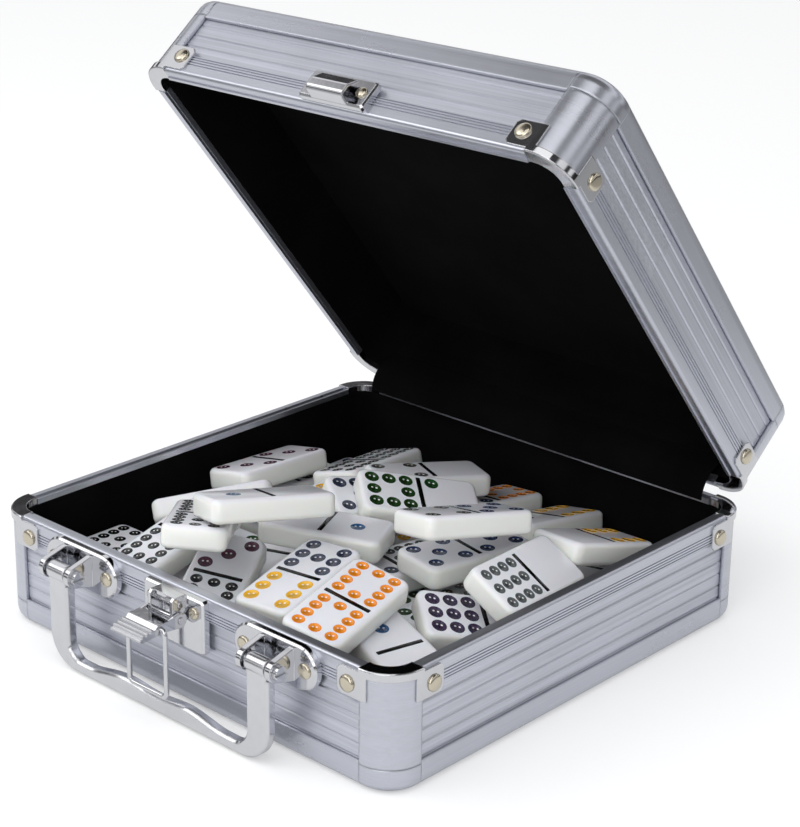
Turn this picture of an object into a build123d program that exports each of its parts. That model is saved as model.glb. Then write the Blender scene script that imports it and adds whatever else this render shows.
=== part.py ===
from build123d import *
import math
import os

import numpy as np

# Outer sizes of the shut case
case_width = 216.0
case_depth = 212.0
base_height = 48.0
lid_height = 40.0
rim_gap = 0.3
lid_open_angle = 51.0

# Shell build-up, measured inward from the outer faces
seam = 0.15
seat = 0.1
edge_setback = 1.5
wall_thickness = 3.0
lining_thickness = 1.0
board_thickness = 2.5
board_recess = 1.4
board_top_drop = 2.1
plate_bevel = 0.8
plate_corner_cut = 1.0

# Rim rail: a channel pushed over the wall boards
rim_rail_height = 9.4
rim_skin = 1.4
rim_top_width = 3.6
rim_step_depth = 0.8
rim_inner_drop = 3.0
rim_groove = 0.5
rim_groove_depths = (5.3, 6.5, 7.7, 8.8)
rim_slot = 2.0
rail_fit = 0.2
tongue_rise = 0.5
tongue_fit = 0.3

# Ribbed wall boards
rib_pitch = 5.4
rib_valley_depth = 0.4
rib_valley_half = 0.6
rib_clearance = 0.2

# Edge rail round the floor and round the lid top
edge_rail_height = 11.3
edge_skin = 1.2
edge_radius = 5.0
edge_steps = 4
edge_flange = 10.0

# Corner posts, corner caps and rim clips
corner_radius = 14.6
corner_ring = 4.5
corner_straight = 1.0
corner_skin = 1.3
post_top = 1.0
post_foot = 10.1
cap_height = 9.9
clip_thickness = 0.8
clip_fit = 0.05
clip_outer_leg = 3.4
clip_inner_leg = 3.0
clip_tab_top = 1.5
clip_tab_foot = 12.5
clip_tab_end = 25.5
clip_tab_cut = 1.6
clip_tab_wrap = 10.0
clip_rivet_inset = 20.5
clip_rivet_drop = 7.8
clip_rivet_radius = 3.3
clip_rivet_height = 1.4
rivet_sides = 12
rivet_rim_slope = 25.0
rivet_crown_slope = 65.0
flat_head_slope = 40.0

# Handle and its two brackets
bracket_x = 53.5
bracket_length = 42.0
bracket_height = 17.5
bracket_drop = 9.2
bracket_thickness = 3.0
pad_depth = 1.48
pad_clearance = 0.2
bracket_pad_inset = 6.0
bracket_pad_margin = 1.0
bracket_rivet_pitch = 30.8
bracket_rivet_radius = 3.0
ear_x = 55.0
ear_gap = 12.4
ear_thickness = 2.5
ear_radius = 4.2
ear_root_inset = 2.5
root_overlap = 0.5
bore_fit = 0.02
handle_pivot_out = 11.0
handle_pivot_drop = 8.5
handle_pin_radius = 1.85
handle_pin_end = 0.8
pin_head_radius = 2.9
pin_head_height = 2.0
pin_head_seat = 0.1
pin_slot_width = 0.9
pin_slot_depth = 0.7
pin_fit = 0.08
handle_arm_width = 11.0
handle_thickness = 5.0
handle_neck_width = 9.6
handle_barrel_radius = 3.6
handle_shoulder_drop = 4.5
handle_reach = 38.8
handle_outer_bend = 14.0
handle_inner_bend = 7.0
handle_grip_depths = (4.7, 4.9, 7.7, 6.6)
handle_grip_turns = (35.0, 18.0)
handle_edge_bevel = 1.0

# Latch on the base
latch_plate_width = 33.0
latch_plate_top = 0.8
latch_plate_foot = 22.7
latch_plate_thickness = 3.0
latch_pad_inset = 2.5
latch_rivet_x = 11.6
latch_rivet_drop = 6.5
latch_rivet_radius = 2.4
latch_box_half = 6.7
latch_box_wall = 1.5
latch_box_out = 9.2
latch_box_top = 0.5
latch_box_foot = 11.0
latch_box_cut = 1.2
latch_web_inset = 1.6
lever_pivot_out = 6.5
lever_pivot_drop = 9.3
lever_pin_radius = 1.2
stop_pin_out = 5.4
stop_pin_drop = 3.8
latch_pin_end = 0.5
lever_half = 8.2
lever_skin = 1.2
lever_top_drop = 7.5
lever_foot_drop = 11.5
lever_start_out = 10.0
lever_cheek_radius = 3.0
lever_tip_profile = ((17.5, 0.0), (19.0, 1.4), (21.0, 2.2), (26.0, 3.0), (26.4, 3.8), (25.4, 4.5))
lever_tip_root = 19.0
lever_ridge_size = 0.85
lever_ridges = ((20.2, 1.7), (22.2, 2.2), (24.2, 2.5))
bail_eye_out = 16.0
bail_eye_drop = 9.5
bail_wire_radius = 1.0
bail_half_width = 10.3
bail_length = 27.3
bail_bend = 1.7
bail_wire_sides = 8
bail_end_inset = 1.2

# Catch on the lid
catch_half = 16.5
catch_foot = 1.0
catch_top = 13.8
catch_thickness = 3.0
catch_hook_half = 9.0
catch_hook_out = 8.5
catch_hook_skin = 1.2
catch_hook_rise = 9.8
catch_hook_knee = 5.0
catch_hook_lean = 3.0
catch_hook_bend = 2.2
catch_rivet_x = 12.2
flat_rivet_height = 1.1

# Rear hinges and the gap flap between them
hinge_axis_out = 2.4
hinge_axis_rise = 0.15
hinge_clip_gap = 7.5
hinge_leaf_length = 30.0
hinge_leaf_thickness = 1.0
hinge_leaf_foot = 9.2
hinge_knuckle_radius = 2.2
hinge_knuckles = 3
hinge_knuckle_gap = 0.3
hinge_pin_radius = 1.15
hinge_pin_fit = 0.05
hinge_clearance = 0.35
hinge_leaf_start = 0.5
hinge_corner_cut = 1.5
hinge_rivet_x = 9.0
hinge_rivet_drop = 6.0
hinge_rivet_radius = 2.2
hinge_rivet_height = 0.9
leaf_seat = 0.02
flap_radius = 12.8
flap_thickness = 0.8
flap_high_angle = 50.8
flap_clearance = 0.35
flap_half_length = 92.0
flap_flange = 7.0
flap_flange_start = 1.0
flap_seat = 0.05

# Dominoes
domino_length = 50.8
domino_width = 25.4
domino_thickness = 9.5
domino_corner_cut = 2.3
domino_gap = 0.3
domino_wall_gap = 0.2
map_cell = 0.5

# Lowest layer of dominoes, flat on the lining from wall to wall in columns, with a gap between rows
layer_columns = 4
layer_rows = 6
layer_row_gap = 5.6

# Dominoes that lie flat on the lowest layer: x, y, turn
second_layer = (
    (-88.0, -73.0, 90),
    (-34.5, 8.5, 0),
    (21.5, -74.5, 90),
    (42.5, -8.5, 90),
    (21.5, -74.5, 90),
    (-31.5, 14.5, 0),
)

# Loose dominoes in the order they fell: x, y, turn, roll about the long axis, pitch about the short one
loose_dominoes = (
    (12.5, -15.5, 99, 0, 1),
    (-25.5, -32.5, 99, -7, -10),
    (-51.5, -44.5, 98, 5, -1),
    (-4.5, 73.0, 84, -7, 7),
    (-84.5, 33.5, 80, -6, 0),
    (22.5, -15.0, 81, 1, 2),
    (-56.0, 55.0, 96, -15, 5),
    (-17.0, -71.0, 117, 8, -16),
    (-53.0, -59.0, 92, -2, -13),
    (0.5, -28.5, 25, -1, 3),
    (-18.5, 51.5, 62, -5, 5),
    (-7.5, 14.5, 64, 18, 9),
    (50.5, -62.0, 97, 1, 2),
    (-72.5, -21.5, 50, -40, -9),
    (23.5, -66.5, 99, 0, -8),
    (77.5, -24.0, 58, 19, 13),
    (74.0, -66.0, -14, 0, 10),
    (46.5, 1.5, 80, 1, 1),
    (8.5, 16.0, 56, 19, 12),
    (29.5, 73.5, 89, -10, 10),
    (74.0, 51.0, 96, -5, 3),
    (53.5, -72.5, 100, 13, -7),
    (76.5, 44.5, 88, -2, 17),
    (-83.5, 21.0, 90, -11, 3),
    (-25.0, -72.0, 131, 4, 12),
    (84.0, -7.0, 96, 31, 3),
    (55.0, -9.5, 77, -12, 10),
    (-2.5, -59.5, 68, -13, 6),
)

half_width = case_width / 2
half_depth = case_depth / 2
wall_inner = edge_setback + wall_thickness
lining_outer = wall_inner + seat
lining_inner = lining_outer + lining_thickness
hinge_x = half_width - clip_tab_end - hinge_clip_gap - hinge_leaf_length / 2
hinge_y = half_depth + hinge_axis_out
hinge_z = base_height + hinge_axis_rise
front_y = -half_depth
flap_low_angle = -math.degrees(math.acos((hinge_axis_out + lining_inner + flap_clearance) / flap_radius))

FRONT = (0, 1)
REAR = (0, -1)
LEFT = (1, 0)
RIGHT = (-1, 0)


def polygon(points):
    return Polygon(*points, align=None)


def side_plane(inward):
    # Section plane in the middle of a side: x runs inward from the outer face, y up from the rim
    reach = half_width if inward[0] else half_depth
    return Plane(
        origin=(-inward[0] * reach, -inward[1] * reach, 0),
        x_dir=(inward[0], inward[1], 0),
        z_dir=(inward[1], -inward[0], 0),
    )


def run(section, inward, inset):
    # Straight length of a side section, stopping short of both outer corners by the inset
    half = (half_depth if inward[0] else half_width) - inset
    return extrude(side_plane(inward) * section, amount=half, both=True)


def side_view(x=0.0):
    return Plane(origin=(x, 0, 0), x_dir=(0, 1, 0), z_dir=(1, 0, 0))


def front_view(y=0.0):
    return Plane(origin=(0, y, 0), x_dir=(1, 0, 0), z_dir=(0, -1, 0))


def slab(section, x, width):
    # Side-view section thickened along x from the given x to x plus width
    return extrude(side_view(x) * section, amount=width, dir=(1, 0, 0))


def relief(section, y, depth):
    # Front-view section thickened outward from the given y
    return extrude(front_view(y) * section, amount=depth, dir=(0, -1, 0))


def four_corners(piece):
    # The piece is drawn round its own corner centre, bulging to minus x and minus y
    near_left = Pos(corner_radius - half_width, corner_radius - half_depth, 0) * piece
    near_right = mirror(near_left, Plane.YZ)
    return [near_left, near_right, mirror(near_left, Plane.XZ), mirror(near_right, Plane.XZ)]


def corner_body(section, straight):
    # Quarter ring with a short straight piece at each end; section x is the distance from the centre
    left = Plane(origin=(0, 0, 0), x_dir=(-1, 0, 0), z_dir=(0, 1, 0)) * section
    front = Plane(origin=(0, 0, 0), x_dir=(0, -1, 0), z_dir=(-1, 0, 0)) * section
    ring = revolve(left, Axis.Z, 90)
    left_end = extrude(left, amount=straight, dir=(0, 1, 0))
    front_end = extrude(front, amount=straight, dir=(1, 0, 0))
    return ring + left_end + front_end


def rim_rail_section(tongue):
    skin_x = rim_skin
    inner_x = wall_inner + rail_fit
    points = [
        (0, -rim_rail_height),
        (0, 0),
        (rim_top_width, 0),
    ]
    if tongue:
        points += [
            (rim_top_width + tongue_fit, 0),
            (rim_top_width + tongue_fit, tongue_rise),
            (lining_inner - tongue_fit, tongue_rise),
            (lining_inner - tongue_fit, -rim_step_depth),
        ]
    else:
        points += [(rim_top_width, -rim_step_depth)]
    points += [
        (lining_inner, -rim_step_depth),
        (lining_inner, -rim_inner_drop),
        (inner_x, -rim_inner_drop),
        (inner_x, -rim_slot),
        (skin_x, -rim_slot),
        (skin_x, -rim_rail_height),
    ]
    face = polygon(points)
    outer = [v for v in face.vertices() if abs(v.X) < 0.01 and abs(v.Y) < 0.01]
    face = fillet(outer, edge_setback)
    for depth in rim_groove_depths:
        face -= Pos(0, -depth) * Rectangle(2 * rim_groove, rim_groove)
    return face


def wall_section(height):
    foot = -(height - board_recess - board_thickness - seat)
    points = [(edge_setback, -board_top_drop)]
    valley = -(rim_rail_height + rib_clearance + rib_pitch)
    while valley > foot + rib_pitch:
        points += [
            (edge_setback, valley + rib_valley_half),
            (edge_setback + rib_valley_depth, valley),
            (edge_setback, valley - rib_valley_half),
        ]
        valley -= rib_pitch
    points += [(edge_setback, foot), (wall_inner, foot), (wall_inner, -board_top_drop)]
    return polygon(points)


def edge_section(height, top):
    # Skin down the outside, round the edge in a few straight steps and in under the board
    bend = []
    for step in range(edge_steps + 1):
        turn = math.radians(90 * step / edge_steps)
        bend.append((edge_radius * (1 - math.cos(turn)), edge_radius * (1 - math.sin(turn)) - height))
    inner_bend = (edge_radius - edge_skin) * 0.6
    return polygon([
        (0, top),
        *bend,
        (edge_flange, -height),
        (edge_flange, edge_skin - height),
        (edge_skin + inner_bend, edge_skin - height),
        (edge_skin, edge_skin + inner_bend - height),
        (edge_skin, top),
    ])


def rim_rails(tongue):
    section = rim_rail_section(tongue)
    inset = corner_radius + corner_straight + seam
    return [run(section, side, inset) for side in (FRONT, REAR, LEFT, RIGHT)]


def edge_rails(height):
    section = edge_section(height, edge_rail_height - height)
    inset = corner_radius + corner_straight + seam
    return [run(section, side, inset) for side in (FRONT, REAR, LEFT, RIGHT)]


def wall_board(height, side):
    return run(wall_section(height), side, corner_radius + seam)


def corner_posts(height):
    top = -post_top
    foot = post_foot - height
    drop = top - foot
    ring_section = Pos(corner_radius - corner_ring / 2, (top + foot) / 2) * Rectangle(corner_ring, drop)
    skin_section = Pos(corner_radius - corner_skin / 2, (top + foot) / 2) * Rectangle(corner_skin, drop)
    post = corner_body(skin_section, corner_straight)
    left = Plane(origin=(0, 0, 0), x_dir=(-1, 0, 0), z_dir=(0, 1, 0)) * ring_section
    return four_corners(post + revolve(left, Axis.Z, 90))


def corner_caps(height):
    flat = edge_section(height, cap_height - height)
    section = mirror(flat, Plane.YZ)
    section = Pos(corner_radius, 0) * section
    return four_corners(corner_body(section, corner_straight))


def rounded_board(inset, radius, top, thickness):
    outline = RectangleRounded(case_width - 2 * inset, case_depth - 2 * inset, radius)
    return Pos(0, 0, top - thickness) * extrude(outline, amount=thickness)


def cover_board(height):
    inset = wall_inner + rail_fit
    top = -(height - board_recess - board_thickness)
    return rounded_board(inset, corner_radius - inset, top, board_thickness)


def lining_tray(height):
    floor = -(height - board_recess - board_thickness - seat)
    top = -(rim_inner_drop + rail_fit)
    outer = rounded_board(lining_outer, corner_radius - lining_outer, top, top - floor)
    inner = rounded_board(lining_inner, corner_radius - lining_inner, 1.0, 1.0 - floor - lining_thickness)
    return outer - inner


def rim_clip():
    outer = corner_radius + clip_fit
    inner = corner_radius - corner_ring - clip_fit
    top = -0.1
    section = polygon([
        (inner - clip_thickness, -clip_inner_leg),
        (inner - clip_thickness, top),
        (outer + clip_thickness, top),
        (outer + clip_thickness, -clip_outer_leg),
        (outer, -clip_outer_leg),
        (outer, top - clip_thickness),
        (inner, top - clip_thickness),
        (inner, -clip_inner_leg),
    ])
    crest = [v for v in section.vertices() if v.Y > top - 0.01 and v.X > outer]
    section = chamfer(crest, clip_thickness / 2)
    clip = corner_body(section, corner_straight)
    reach = clip_tab_end - corner_radius
    drop = clip_tab_foot - clip_tab_top
    tab = Pos(reach / 2, -(clip_tab_top + clip_tab_foot) / 2) * Rectangle(reach, drop)
    far = [v for v in tab.vertices() if v.X > reach - 0.01]
    tab = chamfer(far, clip_tab_cut)
    left = Plane(origin=(-outer, 0, 0), x_dir=(0, 1, 0), z_dir=(1, 0, 0)) * tab
    front = Plane(origin=(0, -outer, 0), x_dir=(1, 0, 0), z_dir=(0, -1, 0)) * tab
    clip += extrude(left, amount=clip_thickness, dir=(-1, 0, 0))
    clip += extrude(front, amount=clip_thickness, dir=(0, -1, 0))
    wrap = Pos(outer + clip_thickness / 2, -(clip_tab_top + clip_tab_foot) / 2) * Rectangle(clip_thickness, drop)
    start = Plane(origin=(0, 0, 0), x_dir=(-1, 0, 0), z_dir=(0, 1, 0)) * wrap
    turned = revolve(start, Axis.Z, clip_tab_wrap)
    clip += turned
    clip += Rot(0, 0, 90 - clip_tab_wrap) * turned
    return clip


def rivet_head(radius, height):
    # Domed head standing on the xy plane: a many-sided disc drawn in twice towards its crown
    half = height / 2
    rim = extrude(RegularPolygon(radius, rivet_sides), amount=half, taper=rivet_rim_slope)
    shoulder = radius - half * math.tan(math.radians(rivet_rim_slope))
    crown = extrude(RegularPolygon(shoulder, rivet_sides), amount=half, taper=rivet_crown_slope)
    return rim + Pos(0, 0, half) * crown


def flat_head(radius, height):
    # Pressed flat head with a sloping rim
    return extrude(RegularPolygon(radius, rivet_sides), amount=height, taper=flat_head_slope)


def rivet_on(plane_point, direction, head):
    return Plane(origin=plane_point, z_dir=direction) * head


def clip_rivets():
    out_x = half_width + clip_fit + clip_thickness
    out_y = half_depth + clip_fit + clip_thickness
    dome = rivet_head(clip_rivet_radius, clip_rivet_height)
    heads = []
    for sx in (-1, 1):
        for sy in (-1, 1):
            side_spot = (sx * out_x, sy * (half_depth - clip_rivet_inset), -clip_rivet_drop)
            end_spot = (sx * (half_width - clip_rivet_inset), sy * out_y, -clip_rivet_drop)
            heads.append(rivet_on(side_spot, (sx, 0, 0), dome))
            heads.append(rivet_on(end_spot, (0, sy, 0), dome))
    return heads


def to_base(piece):
    return Pos(0, 0, base_height) * piece


def turn_lid(piece):
    # Turns a piece drawn with the lid shut to the open pose about the hinge axis
    return Pos(0, hinge_y, hinge_z) * Rot(-lid_open_angle, 0, 0) * Pos(0, -hinge_y, -hinge_z) * piece


def to_lid(piece):
    # A half case drawn rim up is turned over, set on the base rim and opened
    return turn_lid(Pos(0, 0, base_height + rim_gap) * mirror(piece, Plane.XY))


def ear(x, root_y, pivot_y, pivot_z, width):
    # Lug of a bracket: a plate with a round end about the pin
    root_half = bracket_height / 2 - ear_root_inset
    outline = make_hull([
        *(Pos(pivot_y, pivot_z) * Circle(ear_radius)).edges(),
        *(Pos(root_y - 0.5, pivot_z) * Rectangle(1.0, 2 * root_half)).edges(),
    ])
    return slab(outline, x, width)


def handle_bracket(side):
    pivot_y = front_y - handle_pivot_out
    pivot_z = base_height - handle_pivot_drop
    centre_z = base_height - bracket_drop
    plate_outline = Pos(side * bracket_x, centre_z) * SlotOverall(bracket_length, bracket_height)
    plate = relief(plate_outline, front_y, bracket_thickness)
    rim = plate.faces().sort_by(Axis.Y)[0].edges()
    plate = chamfer(rim, plate_bevel)
    pad_half = bracket_height / 2 - bracket_pad_margin
    pad_top = base_height - rim_rail_height - pad_clearance
    pad_foot = centre_z - pad_half
    pad = Rectangle(bracket_length - 2 * bracket_pad_inset, pad_top - pad_foot)
    plate += relief(Pos(side * bracket_x, (pad_top + pad_foot) / 2) * pad, front_y, -pad_depth)
    root_y = front_y - bracket_thickness + root_overlap
    inner_x = side * ear_x - ear_gap / 2 - ear_thickness
    outer_x = side * ear_x + ear_gap / 2
    for x in (inner_x, outer_x):
        plate += ear(x, root_y, pivot_y, pivot_z, ear_thickness)
    bore = Pos(side * ear_x, pivot_y, pivot_z) * Rot(0, 90, 0) * Cylinder(handle_pin_radius + bore_fit, bracket_length)
    return plate - bore


def handle_pin(side):
    pivot_y = front_y - handle_pivot_out
    pivot_z = base_height - handle_pivot_drop
    reach = ear_gap / 2 + ear_thickness
    shaft = Cylinder(handle_pin_radius, 2 * (reach + handle_pin_end))
    head_top = reach + pin_head_seat + pin_head_height
    head = Pos(0, 0, head_top - pin_head_height / 2) * Cylinder(pin_head_radius, pin_head_height)
    slot = Pos(0, 0, head_top) * Box(pin_slot_width, 3 * pin_head_radius, 2 * pin_slot_depth)
    pin = shaft + head - slot
    return Pos(side * ear_x, pivot_y, pivot_z) * Rot(0, 90, 0) * pin


def handle():
    pivot_y = front_y - handle_pivot_out
    pivot_z = base_height - handle_pivot_drop
    low = pivot_z - handle_reach
    shoulder = pivot_z - handle_shoulder_drop
    out_x = ear_x + handle_arm_width / 2
    in_x = ear_x - handle_arm_width / 2
    bend = handle_outer_bend
    curl = handle_inner_bend
    inner_low = low + handle_grip_depths[0]
    outer = [
        Line((-out_x, shoulder), (-out_x, low + bend)),
        RadiusArc((-out_x, low + bend), (bend - out_x, low), -bend),
        Line((bend - out_x, low), (out_x - bend, low)),
        RadiusArc((out_x - bend, low), (out_x, low + bend), -bend),
        Line((out_x, low + bend), (out_x, shoulder)),
        Line((out_x, shoulder), (in_x, shoulder)),
        Line((in_x, shoulder), (in_x, inner_low + curl)),
        RadiusArc((in_x, inner_low + curl), (in_x - curl, inner_low), curl),
    ]
    grip = [
        (x, low + depth)
        for x, depth in zip((in_x - curl, *handle_grip_turns, 0.0), handle_grip_depths)
    ]
    points = grip + [(-x, z) for x, z in reversed(grip[:-1])]
    wave = Spline(points, tangents=[(-1, 0), (-1, 0)])
    closing = [
        RadiusArc((curl - in_x, inner_low), (-in_x, inner_low + curl), curl),
        Line((-in_x, inner_low + curl), (-in_x, shoulder)),
        Line((-in_x, shoulder), (-out_x, shoulder)),
    ]
    outline = make_face([*outer, wave, *closing])
    bar = relief(outline, pivot_y + handle_thickness / 2, handle_thickness)
    faces = bar.faces().filter_by(Axis.Y)
    rims = [e for f in faces for e in f.edges() if abs(e.center().Z - shoulder) > 0.5]
    bar = chamfer(rims, handle_edge_bevel)
    for side in (-1, 1):
        neck = Pos(side * ear_x, pivot_y, (pivot_z + shoulder) / 2)
        bar += neck * Box(handle_neck_width, handle_thickness, pivot_z - shoulder + 0.5)
        barrel = Pos(side * ear_x, pivot_y, pivot_z) * Rot(0, 90, 0)
        bar += barrel * Cylinder(handle_barrel_radius, handle_neck_width)
    for side in (-1, 1):
        barrel = Pos(side * ear_x, pivot_y, pivot_z) * Rot(0, 90, 0)
        bar -= barrel * Cylinder(handle_pin_radius + pin_fit, handle_neck_width + 2)
    return bar


def latch_plate():
    top = base_height - latch_plate_top
    foot = base_height - latch_plate_foot
    outline = Pos(0, (top + foot) / 2) * Rectangle(latch_plate_width, top - foot)
    outline = chamfer(outline.vertices(), plate_corner_cut)
    plate = relief(outline, front_y, latch_plate_thickness)
    plate = chamfer(plate.faces().sort_by(Axis.Y)[0].edges(), plate_bevel)
    pad_top = base_height - rim_rail_height - pad_clearance
    pad_foot = foot + plate_corner_cut
    pad = Rectangle(latch_plate_width - 2 * latch_pad_inset, pad_top - pad_foot)
    pad = Pos(0, (pad_top + pad_foot) / 2) * pad
    plate += relief(pad, front_y, -pad_depth)
    y_near = front_y - latch_plate_thickness + root_overlap
    y_far = front_y - latch_box_out
    z_top = base_height - latch_box_top
    z_foot = base_height - latch_box_foot
    cheek = polygon([(y_near, z_foot), (y_near, z_top), (y_far, z_top), (y_far, z_foot)])
    front_corners = [v for v in cheek.vertices() if v.X < y_far + 0.01]
    cheek = chamfer(front_corners, latch_box_cut)
    for x in (-latch_box_half, latch_box_half - latch_box_wall):
        plate += slab(cheek, x, latch_box_wall)
    web = polygon([
        (y_near, z_top - latch_box_wall),
        (y_near, z_top),
        (y_far + latch_web_inset, z_top),
        (y_far + latch_web_inset, z_top - latch_box_wall),
    ])
    plate += slab(web, -latch_box_half, 2 * latch_box_half)
    for out, drop, radius in latch_pin_places():
        bore = Pos(0, front_y - out, base_height - drop) * Rot(0, 90, 0)
        plate -= bore * Cylinder(radius + bore_fit, 2 * latch_box_half + 2)
    return plate


def latch_pin_places():
    return (
        (lever_pivot_out, lever_pivot_drop, lever_pin_radius),
        (stop_pin_out, stop_pin_drop, lever_pin_radius),
    )


def latch_pins():
    pins = []
    lengths = (2 * (lever_half + latch_pin_end), 2 * (latch_box_half + latch_pin_end))
    for (out, drop, radius), length in zip(latch_pin_places(), lengths):
        spot = Pos(0, front_y - out, base_height - drop) * Rot(0, 90, 0)
        pins.append(spot * Cylinder(radius, length))
    return pins


def latch_lever():
    # Channel over the box of the plate that ends in a ridged thumb tab
    pivot = (front_y - lever_pivot_out, base_height - lever_pivot_drop)
    top = base_height - lever_top_drop
    foot = base_height - lever_foot_drop
    near = front_y - lever_start_out
    tab = [(front_y - out, top - drop) for out, drop in lever_tip_profile]
    body = polygon([(near, foot), (near, top), *tab, (front_y - lever_tip_root, foot)])
    lever = slab(body, -lever_half, 2 * lever_half)
    inner_half = lever_half - lever_skin
    far = tab[0][0]
    hollow = polygon([
        (near + 1, foot - 1),
        (near + 1, top - lever_skin),
        (far, top - lever_skin),
        (far, foot - 1),
    ])
    lever -= slab(hollow, -inner_half, 2 * inner_half)
    cheek = make_hull([
        *(Pos(pivot[0], pivot[1]) * Circle(lever_cheek_radius)).edges(),
        *(Pos(near - 1.0, (top + foot) / 2) * Rectangle(2.0, top - foot)).edges(),
    ])
    for x in (-lever_half, inner_half):
        lever += slab(cheek, x, lever_skin)
    for out, drop in lever_ridges:
        ridge = Pos(front_y - out, top - drop) * RegularPolygon(lever_ridge_size, 6)
        lever += slab(ridge, -lever_half, 2 * lever_half)
    pin_bore = Pos(0, pivot[0], pivot[1]) * Rot(0, 90, 0)
    lever -= pin_bore * Cylinder(lever_pin_radius + pin_fit, 2 * lever_half + 2)
    eye = Pos(0, front_y - bail_eye_out, base_height - bail_eye_drop) * Rot(0, 90, 0)
    return lever - eye * Cylinder(bail_wire_radius + pin_fit, 2 * lever_half + 2)


def latch_bail():
    # Wire loop whose two ends turn in through the eyes of the lever
    y = front_y - bail_eye_out
    top = base_height - bail_eye_drop
    foot = top - bail_length
    end = lever_half - lever_skin - bail_end_inset
    half = bail_half_width
    path = FilletPolyline(
        (-end, y, top),
        (-half, y, top),
        (-half, y, foot),
        (half, y, foot),
        (half, y, top),
        (end, y, top),
        radius=bail_bend,
    )
    wire = RegularPolygon(bail_wire_radius, bail_wire_sides)
    return sweep(Plane(origin=(-end, y, top), z_dir=(-1, 0, 0)) * wire, path=path)


def lid_catch():
    rim = base_height + rim_gap
    foot = rim + catch_foot
    top = rim + catch_top
    outline = Pos(0, (top + foot) / 2) * Rectangle(2 * catch_half, top - foot)
    outline = chamfer(outline.vertices(), plate_corner_cut)
    plate = relief(outline, front_y, catch_thickness)
    plate = chamfer(plate.faces().sort_by(Axis.Y)[0].edges(), plate_bevel)
    pad_foot = rim + rim_rail_height + pad_clearance
    pad_top = top - plate_bevel
    pad = Rectangle(2 * (catch_half - latch_pad_inset), pad_top - pad_foot)
    plate += relief(Pos(0, (pad_top + pad_foot) / 2) * pad, front_y, -pad_depth)
    return turn_lid(plate + catch_hook(foot))


def catch_hook(foot):
    # Bent strip under the catch plate that the bail pulls on
    near = front_y - catch_thickness + root_overlap
    far = front_y - catch_hook_out
    skin = catch_hook_skin
    knee = foot + catch_hook_knee
    crest = foot + catch_hook_rise
    lean = far + catch_hook_lean
    outer = polygon([(near, foot), (far, foot), (far, knee), (lean, crest), (near, crest)])
    outer = fillet([v for v in outer.vertices() if v.X < far + 0.01], catch_hook_bend)
    inner = polygon([
        (near + 1.0, foot + skin),
        (far + skin, foot + skin),
        (far + skin, knee - skin / 4),
        (lean + skin, crest + skin / 2),
        (near + 1.0, crest + skin / 2),
    ])
    inner = fillet([v for v in inner.vertices() if v.X < far + skin + 0.01], catch_hook_bend - skin)
    return slab(outer - inner, -catch_hook_half, 2 * catch_hook_half)


def front_rivets(places, radius, y):
    return [rivet_on((x, y, z), (0, -1, 0), flat_head(radius, flat_rivet_height)) for x, z in places]


def bracket_rivets():
    z = base_height - bracket_drop
    half = bracket_rivet_pitch / 2
    places = [(s * bracket_x + d, z) for s in (-1, 1) for d in (-half, half)]
    return front_rivets(places, bracket_rivet_radius, front_y - bracket_thickness)


def latch_rivets():
    z = base_height - latch_rivet_drop
    places = [(-latch_rivet_x, z), (latch_rivet_x, z)]
    return front_rivets(places, latch_rivet_radius, front_y - latch_plate_thickness)


def catch_rivets():
    z = base_height + rim_gap + (catch_foot + catch_top) / 2
    places = [(-catch_rivet_x, z), (catch_rivet_x, z)]
    heads = front_rivets(places, latch_rivet_radius, front_y - catch_thickness)
    return [turn_lid(head) for head in heads]


def hinge_leaf(x, knuckle_parity, flip):
    # Leaf on the rear rail with every second knuckle; flip is +1 for the lid and -1 for the base
    outer = half_depth + hinge_leaf_thickness
    rim_z = base_height if flip < 0 else base_height + rim_gap
    far_z = rim_z + flip * hinge_leaf_foot
    near_z = rim_z + flip * hinge_leaf_start
    plate = polygon([
        (half_depth + leaf_seat, far_z),
        (half_depth + leaf_seat, near_z),
        (outer, near_z),
        (outer, far_z),
    ])
    leaf = slab(plate, x - hinge_leaf_length / 2, hinge_leaf_length)
    corners = leaf.edges().filter_by(Axis.Y).group_by(Axis.Z)[0 if flip < 0 else -1]
    leaf = chamfer(corners, hinge_corner_cut)
    axis_spot = Pos(0, hinge_y, hinge_z) * Rot(0, 90, 0)
    pitch = hinge_leaf_length / hinge_knuckles
    for index in range(hinge_knuckles):
        centre = x - hinge_leaf_length / 2 + (index + 0.5) * pitch
        if index % 2 == knuckle_parity:
            barrel = Cylinder(hinge_knuckle_radius, pitch - hinge_knuckle_gap)
            leaf += Pos(centre, 0, 0) * axis_spot * barrel
        else:
            reach = 2 * (hinge_knuckle_radius + hinge_clearance)
            leaf -= Pos(centre, 0, 0) * axis_spot * Box(reach, reach, pitch + hinge_knuckle_gap)
    bore = Pos(x, 0, 0) * axis_spot * Cylinder(hinge_pin_radius + hinge_pin_fit, hinge_leaf_length + 2)
    return leaf - bore


def hinge_base_leaves():
    return [hinge_leaf(x, 0, -1) for x in (-hinge_x, hinge_x)]


def hinge_lid_leaves():
    return [turn_lid(hinge_leaf(x, 1, 1)) for x in (-hinge_x, hinge_x)]


def hinge_pins():
    shaft = Rot(0, 90, 0) * Cylinder(hinge_pin_radius, hinge_leaf_length + 1.0)
    return [Pos(x, hinge_y, hinge_z) * shaft for x in (-hinge_x, hinge_x)]


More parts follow.
